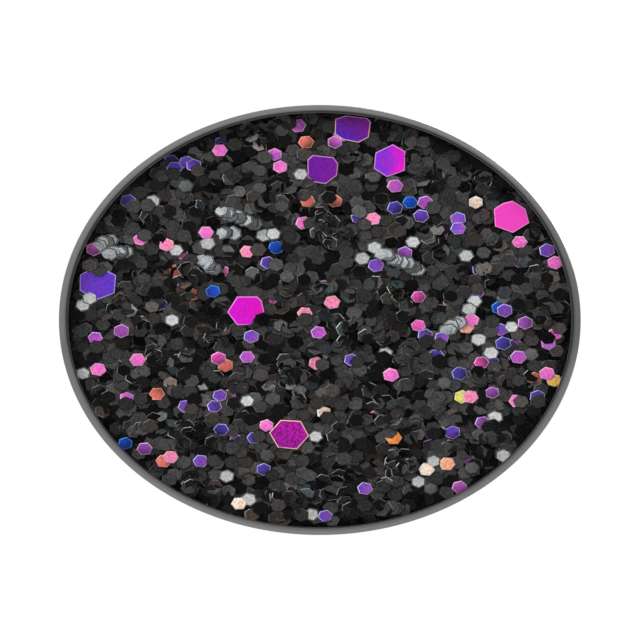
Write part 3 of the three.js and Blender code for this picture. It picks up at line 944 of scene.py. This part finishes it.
# %% Large flakes
LARGE_LOOKS = {
    "flake_violet_left": (
        "violet_foil", (0.15, 0.040, 0.56), (0.11, 0.032, 0.60), (0.45, 0.36, 0.80), (0.3, -0.2), 0.25,
    ),
    "flake_magenta_centre": (
        "magenta_foil", (0.74, 0.001, 0.68), (0.80, 0.001, 0.52), (0.80, 0.30, 0.72), (0.3, 0.2), 0.15,
    ),
    "flake_magenta_low": (
        "magenta_foil", (0.40, 0.002, 0.32), (0.30, 0.001, 0.32), (0.98, 0.60, 0.42), (-0.2, -0.3), 0.7,
    ),
    "flake_purple_upper": (
        "purple_foil", (0.20, 0.006, 0.34), (0.15, 0.008, 0.36), (0.62, 0.26, 0.56), (-0.3, 0.1), 0.2,
    ),
    "flake_purple_top": (
        "purple_foil", (0.19, 0.006, 0.28), (0.09, 0.014, 0.46), (0.85, 0.40, 0.52), (-0.5, -0.5), 0.3,
    ),
    "flake_violet_upper_right": (
        "violet_foil", (0.28, 0.028, 0.72), (0.95, 0.003, 0.70), (0.60, 0.30, 0.75), (0.7, -0.1), 0.15,
    ),
    "flake_pink_right": (
        "pink_foil", (1.0, 0.06, 0.58), (1.0, 0.07, 0.60), (0.95, 0.30, 0.70), (0.1, 0.0), 0.04,
    ),
}
PLATE_THICKNESS = 0.07
PLATE_BEVEL = 0.07
DRIFT_SCALE = 900


def plate(name, centre, outline, front):
    """A flat plate of an outline, with a bevel round its front face.

    The rings are the outline at the back and at the bevel's foot, then the outline drawn in to its centre by
    the bevel, and last the centre itself.
    """
    outline = np.asarray(outline)
    reach = np.linalg.norm(outline, axis=1, keepdims=True)
    drawn_in = outline * (1 - PLATE_BEVEL / reach)
    back_depth = front - PLATE_THICKNESS
    rings = [
        (outline * 0, back_depth), (outline, back_depth), (outline, front - PLATE_BEVEL / 3),
        (drawn_in, front), (outline * 0, front),
    ]
    grid = np.stack([
        np.column_stack([centre[0] + ring[:, 0], np.full(len(ring), -depth), centre[1] + ring[:, 1]])
        for ring, depth in rings
    ])
    return surface(name, grid, sharp=8)


def interference_foil(name, centre, colour, other, way, grain):
    """Foil that runs from one colour to another along way, a direction (x, z), and is mottled by grain.

    The share of the other colour is the distance from the centre along way, plus a slow noise from 0 to 0.6.
    """
    material = finish(name, colour, 0.2, 0.3, Coat_Weight=0.25, Coat_Roughness=0.1)
    tree = material.node_tree
    place = node(tree, "ShaderNodeTexCoord").outputs["Object"]
    along = node(tree, "ShaderNodeVectorMath", operation="DOT_PRODUCT")
    along.inputs[1].default_value = (way[0] / MM, 0, way[1] / MM)
    from_centre = node(tree, "ShaderNodeVectorMath", operation="SUBTRACT")
    from_centre.inputs[1].default_value = (centre[0] * MM, 0, centre[1] * MM)
    drift = node(tree, "ShaderNodeTexNoise")
    drift.inputs["Scale"].default_value = DRIFT_SCALE
    total = node(tree, "ShaderNodeMath", operation="ADD")
    blend = node(tree, "ShaderNodeMix", data_type="RGBA")
    blend.inputs[6].default_value = (*colour, 1)
    blend.inputs[7].default_value = (*other, 1)
    tree.links.new(place, from_centre.inputs[0])
    tree.links.new(from_centre.outputs["Vector"], along.inputs[0])
    tree.links.new(place, drift.inputs["Vector"])
    tree.links.new(along.outputs["Value"], total.inputs[0])
    tree.links.new(mapped(tree, drift.outputs["Fac"], (0.3, 0.7), (0, 0.6)), total.inputs[1])
    tree.links.new(mapped(tree, total.outputs[0], (0, 1), (0, 1)), blend.inputs["Factor"])
    mottle(tree, blend.outputs[2], grain)
    return material


large_heights = COAT_FRONT + heights[kind == "large"] + PLATE_THICKNESS
for (name, (centre, outline)), front in zip(LARGE.items(), large_heights):
    slot, colour, other, edge, way, grain = LARGE_LOOKS[name]
    piece = plate(name + "_foil", centre, outline, front)
    face = interference_foil(name + "_face", centre, colour, other, way, grain)
    place_piece(piece, "pin", slot, face, name)
    piece.data.materials.append(finish(name + "_edge", edge, 0.1, 0.35))
    facing = np.zeros(len(piece.data.polygons) * 3, np.float32)
    piece.data.polygons.foreach_get("normal", facing)
    bevel_faces = np.abs(facing.reshape(-1, 3)[:, 1]) < 0.999
    piece.data.polygons.foreach_set("material_index", bevel_faces.astype(np.int32))
    print(name, "front at", round(float(front), 2))

# %% [markdown]
# ## Resin
# The clear coat is a shallow lens that reaches back between the flakes, almost to the base coat. Its front
# falls from the crown with the square of the radius. Glass shading would send every ray through two surfaces
# and hide the fine edges in noise, so the resin is a gloss with a low alpha: what lies under it shows, and
# its surface still shines.

# %% Resin
RESIN_STEPS = 14
EDGE_RISE = 0.1
OVER_COAT = 0.02
resin_radius = np.linspace(0, FILL_RADIUS, RESIN_STEPS)
resin_edge_front = FLAKE_FRONT + EDGE_RISE
crown = resin_edge_front + (RESIN_FRONT - resin_edge_front) * (1 - (resin_radius / FILL_RADIUS) ** 2)
resin_profile = np.vstack([
    np.column_stack([resin_radius, -crown]),
    [(FILL_RADIUS, -COAT_FRONT - OVER_COAT), (0, -COAT_FRONT - OVER_COAT)],
])
resin = turned("resin_lens", resin_profile, 160, flatten=FLATTEN)
clear = finish("clear_resin", (0.02, 0.02, 0.022), 0.0, 0.04, Alpha=0.04, Specular_IOR_Level=0.6,
               Coat_Weight=1.0, Coat_Roughness=0.03)
place_piece(resin, "pin", "clear_resin", clear, "clear_resin")
print("resin crown", round(float(crown[0]), 2))

# %% [markdown]
# ## Posts
# A post is a nickel pin with a flat head that is soldered to the tray. Near its point a groove is turned for
# the clutch's jaws. The head meets the shaft in a fillet, and a little solder has run out round it.

# %% Posts
POST_X = 9.5
POST_RADIUS = 0.58
POST_LENGTH = 8.2
post_profile = rounded([
    (0, 0), (2.4, 0), (2.4, 0.22), (2.14, 0.35), (0.74, 0.35), (POST_RADIUS, 0.6), (POST_RADIUS, 6.05),
    (0.44, 6.16), (0.44, 6.99), (POST_RADIUS, 7.1), (POST_RADIUS, 7.3), (0.1, 8.1), (0, POST_LENGTH),
], [0, 0.06, 0.08, 0.12, 0.1, 0.03, 0.04, 0.04, 0.03, 0.04, 0.1, 0.0], steps=3)
for side, x in (("left", -POST_X), ("right", POST_X)):
    post = turned(f"{side}_post_pin", post_profile, 48, centre=(x, 0, 0), sharp=40)
    place_piece(post, "pin", "nickel", nickel_wire, f"{side}_post")

# %% [markdown]
# ## Clutches
# A butterfly clutch is three stampings: a cup that bears on the cloth, a cover held in the cup by its turned
# lip, and a spring strip folded so that its two ends cross and stand out through the cover as wings. The cup
# is turned. The cover is a flat plate with windows. The strip is a ribbon that follows a bent path.

# %% Cup
CLUTCH_FACE = 5.2
HOLE = 0.85
COVER_LOW, COVER_SHEET = 2.05, 0.32
cup_profile = rounded([
    (HOLE, 0.18), (HOLE, 0), (3.6, 0), (3.75, 0.07), (4.5, 0.07), (4.65, 0), (5.7, 0), (5.7, 2.7), (4.9, 2.7),
    (4.9, 2.42), (5.35, 2.42), (5.35, COVER_LOW), (5.0, COVER_LOW), (5.0, 0.35), (HOLE, 0.35), (HOLE, 0.18),
], [0.08, 0.05, 0.03, 0.03, 0.05, 0.42, 0.28, 0.1, 0.05, 0.05, 0.02, 0.02, 0.15, 0.05], steps=5)
for side, x in (("left", -POST_X), ("right", POST_X)):
    cup = turned(f"{side}_cup", cup_profile[:-1], 96, centre=(x, CLUTCH_FACE, 0), ring=True)
    place_piece(cup, f"{side}_clutch", "nickel", nickel, f"{side}_clutch_cup")
print("cup profile points:", len(cup_profile))

# %% Cover
COVER_RADIUS = 5.3
COVER_EDGE = 0.05
WINDOW_NEAR, WINDOW_FAR, WINDOW_HALF = 2.07, 3.28, 1.15


def loop_points(points):
    """A closed outline as four-number points of a poly spline, in metres, lying in X and Y."""
    points = np.asarray(points) * MM
    return np.column_stack([points, np.zeros(len(points)), np.ones(len(points))]).ravel()


def flat_plate(name, outlines, low, sheet, edge, centre):
    """A sheet of metal in the XZ plane: the first outline's inside, less the others, with rounded edges."""
    curve = bpy.data.curves.new(name, "CURVE")
    curve.dimensions = "2D"
    curve.fill_mode = "BOTH"
    curve.extrude = (sheet / 2 - edge) * MM
    curve.bevel_depth = edge * MM
    curve.bevel_resolution = 2
    curve.offset = -edge * MM
    for outline in outlines:
        spline = curve.splines.new("POLY")
        spline.points.add(len(outline) - 1)
        spline.points.foreach_set("co", loop_points(outline))
        spline.use_cyclic_u = True
    holder = bpy.data.objects.new(name + "_outline", curve)
    bpy.context.scene.collection.objects.link(holder)
    shape = bpy.data.meshes.new_from_object(holder)
    bpy.data.objects.remove(holder)
    co = np.zeros(len(shape.vertices) * 3, np.float32)
    shape.vertices.foreach_get("co", co)
    flat = co.reshape(-1, 3)
    stood = np.column_stack([flat[:, 0], flat[:, 2], flat[:, 1]])
    stood += (np.array([centre[0], centre[1] + low + sheet / 2, centre[2]]) * MM).astype(np.float32)
    shape.vertices.foreach_set("co", stood.astype(np.float32).ravel())
    shape.name = name
    return finish_mesh(name, shape)


window = rounded([
    (WINDOW_NEAR, 0), (WINDOW_NEAR, -WINDOW_HALF), (WINDOW_FAR, -WINDOW_HALF), (WINDOW_FAR, WINDOW_HALF),
    (WINDOW_NEAR, WINDOW_HALF), (WINDOW_NEAR, 0.01),
], [0.15, 0.15, 0.15, 0.15], steps=4)
cover_outlines = [
    arc((0, 0), COVER_RADIUS, 0, 355, 71),
    arc((0, 0), HOLE, 0, 350, 35),
    window,
    window * (-1, 1),
]
for side, x in (("left", -POST_X), ("right", POST_X)):
    centre = (x, CLUTCH_FACE, 0)
    cover = flat_plate(f"{side}_cover", cover_outlines, COVER_LOW, COVER_SHEET, COVER_EDGE, centre)
    place_piece(cover, f"{side}_clutch", "nickel", nickel, f"{side}_clutch_cover")

# %% [markdown]
# The strip is three ribbons. The bow lies across the bottom of the cup. Each leaf has an arm with a slot for
# the post, a narrow neck that goes up through a window, and an ear to pinch. Leaf b is leaf a turned half
# round and half a millimetre higher, with a second slot that leaf a's neck passes through.

# %% Ribbons
LEAF_SHEET = 0.26
ARM_HALF, NECK_HALF, EAR_HALF = 1.6, 0.9, 2.3


def ribbon(name, path, half_width, slots, centre, turn=1):
    """A bent strip: a path in X and Y, as wide along Z as half_width says at each point, and a sheet thick.

    The point at path place p and share c is (p_x, p_y, c half_width), for c from -1 to 1. Cells whose middle
    lies in a slot, given as lowest x, highest x and half its width, and under the cover, are left out. turn
    is -1 for a strip turned half round the Y axis.
    """
    across = np.unique(np.concatenate([
        np.linspace(-1, 1, 13), *[np.array([-half, half]) / ARM_HALF for _, _, half in slots],
    ]))
    grid = np.stack([
        np.broadcast_to(path[:, :1], (len(path), len(across))),
        np.broadcast_to(path[:, 1:], (len(path), len(across))),
        half_width[:, None] * across,
    ], axis=-1)
    quads = grid_faces(*grid.shape[:2])
    middle = grid.reshape(-1, 3)[quads].mean(axis=1)
    for low, high, half in slots:
        inside = (middle[:, 0] > low) & (middle[:, 0] < high) & (np.abs(middle[:, 2]) < half)
        inside &= middle[:, 1] < COVER_LOW
        quads, middle = quads[~inside], middle[~inside]
    points = grid.reshape(-1, 3) * (turn, 1, turn) + np.asarray(centre)
    mesh = bpy.data.meshes.new(name)
    mesh.from_pydata((points * MM).tolist(), [], quads.tolist())
    made = finish_mesh(name, mesh)
    wall = made.modifiers.new("wall", "SOLIDIFY")
    wall.thickness = LEAF_SHEET * MM
    wall.offset = 0
    edge = made.modifiers.new("edge", "BEVEL")
    edge.width = 0.04 * MM
    edge.segments = 2
    edge.limit_method = "ANGLE"
    edge.angle_limit = math.radians(50)
    return made


# %% Leaves
LEVEL_A, LEVEL_B = 1.15, 1.65
NECK_X = 2.9
NECK_TOP = 2.75
BEND, FLARE = 0.45, 0.8
WING_SLOPE, WING_LENGTH = 42, 3.0
CURL, CURL_SWEEP = 0.5, 210
PINCH_TRAVEL = 0.45
GRIP = -(POST_RADIUS + 0.02)
OPEN = PINCH_TRAVEL + POST_RADIUS + 0.25


def leaf_path(level, slot_ends):
    """A leaf from its arm's end to its curl: straight across, up through the cover, out, and rolled under."""
    slope = math.radians(WING_SLOPE)
    flare = arc((NECK_X + FLARE, NECK_TOP), FLARE, 180, 90 + WING_SLOPE, 6)
    wing_end = flare[-1] + WING_LENGTH * np.array([math.cos(slope), math.sin(slope)])
    curl_centre = wing_end + CURL * np.array([math.sin(slope), -math.cos(slope)])
    arm_x = np.unique(np.concatenate([np.linspace(-3.6, 2.3, 14), slot_ends, [1.9, 2.1]]))
    return np.vstack([
        np.column_stack([arm_x, np.full(len(arm_x), level)]),
        arc((NECK_X - BEND, level + BEND), BEND, 270, 360, 6),
        [(NECK_X, NECK_TOP - 0.25)],
        flare,
        flare[-1] + np.linspace(0, 1, 14)[1:-1, None] * (wing_end - flare[-1]),
        arc(curl_centre, CURL, 90 + WING_SLOPE, 90 + WING_SLOPE - CURL_SWEEP, 20),
    ])


def leaf_width(path):
    """Half the leaf's width along its path: the arm, the narrow neck, then an ear with round shoulders."""
    lengths = np.concatenate([[0], np.cumsum(np.linalg.norm(np.diff(path, axis=0), axis=1))])
    past_neck = lengths - lengths[np.argmax(path[:, 1] > NECK_TOP)]
    left = lengths[-1] - lengths
    shoulder = np.sqrt(1 - (1 - np.clip(past_neck / 1.1, 0, 1)) ** 2)
    ear = NECK_HALF + (EAR_HALF - NECK_HALF) * shoulder
    tip = 1 - 0.22 * (1 - np.clip(left / 1.2, 0, 1)) ** 2
    width = np.where(past_neck > 0, ear * tip, NECK_HALF)
    on_arm = (path[:, 0] < 2.0) & (path[:, 1] < COVER_LOW)
    return np.where(on_arm, ARM_HALF, width)


POST_SLOT = (GRIP, OPEN, POST_RADIUS + 0.1)
NECK_SLOT = (-(NECK_X + 0.33), -(NECK_X - 1.23), 1.1)
BOW_END, BOW_LEVEL, BOW_HOLE = 4.45, 0.5, 0.9
path_a = leaf_path(LEVEL_A, POST_SLOT[:2])
path_b = leaf_path(LEVEL_B, POST_SLOT[:2] + NECK_SLOT[:2])
bow_path = rounded([
    (-BOW_END, 1.35), (-BOW_END, BOW_LEVEL), (-BOW_HOLE, BOW_LEVEL), (BOW_HOLE, BOW_LEVEL),
    (BOW_END, BOW_LEVEL), (BOW_END, 1.85),
], [0.3, 0, 0, 0.3])
bow_width = np.full(len(bow_path), ARM_HALF)
for side, x in (("left", -POST_X), ("right", POST_X)):
    centre = (x, CLUTCH_FACE, 0)
    leaf_a = ribbon(f"{side}_leaf_a_strip", path_a, leaf_width(path_a), [POST_SLOT], centre)
    place_piece(leaf_a, f"{side}_leaf_a", "nickel", spring_nickel, f"{side}_clutch_leaf_a")
    slots_b = [POST_SLOT, NECK_SLOT]
    leaf_b = ribbon(f"{side}_leaf_b_strip", path_b, leaf_width(path_b), slots_b, centre, turn=-1)
    place_piece(leaf_b, f"{side}_leaf_b", "nickel", spring_nickel, f"{side}_clutch_leaf_b")
    bow = ribbon(f"{side}_bow_strip", bow_path, bow_width, [(-BOW_HOLE, BOW_HOLE, BOW_HOLE)], centre)
    place_piece(bow, f"{side}_clutch", "nickel", spring_nickel, f"{side}_clutch_bow")
print("clutches done")
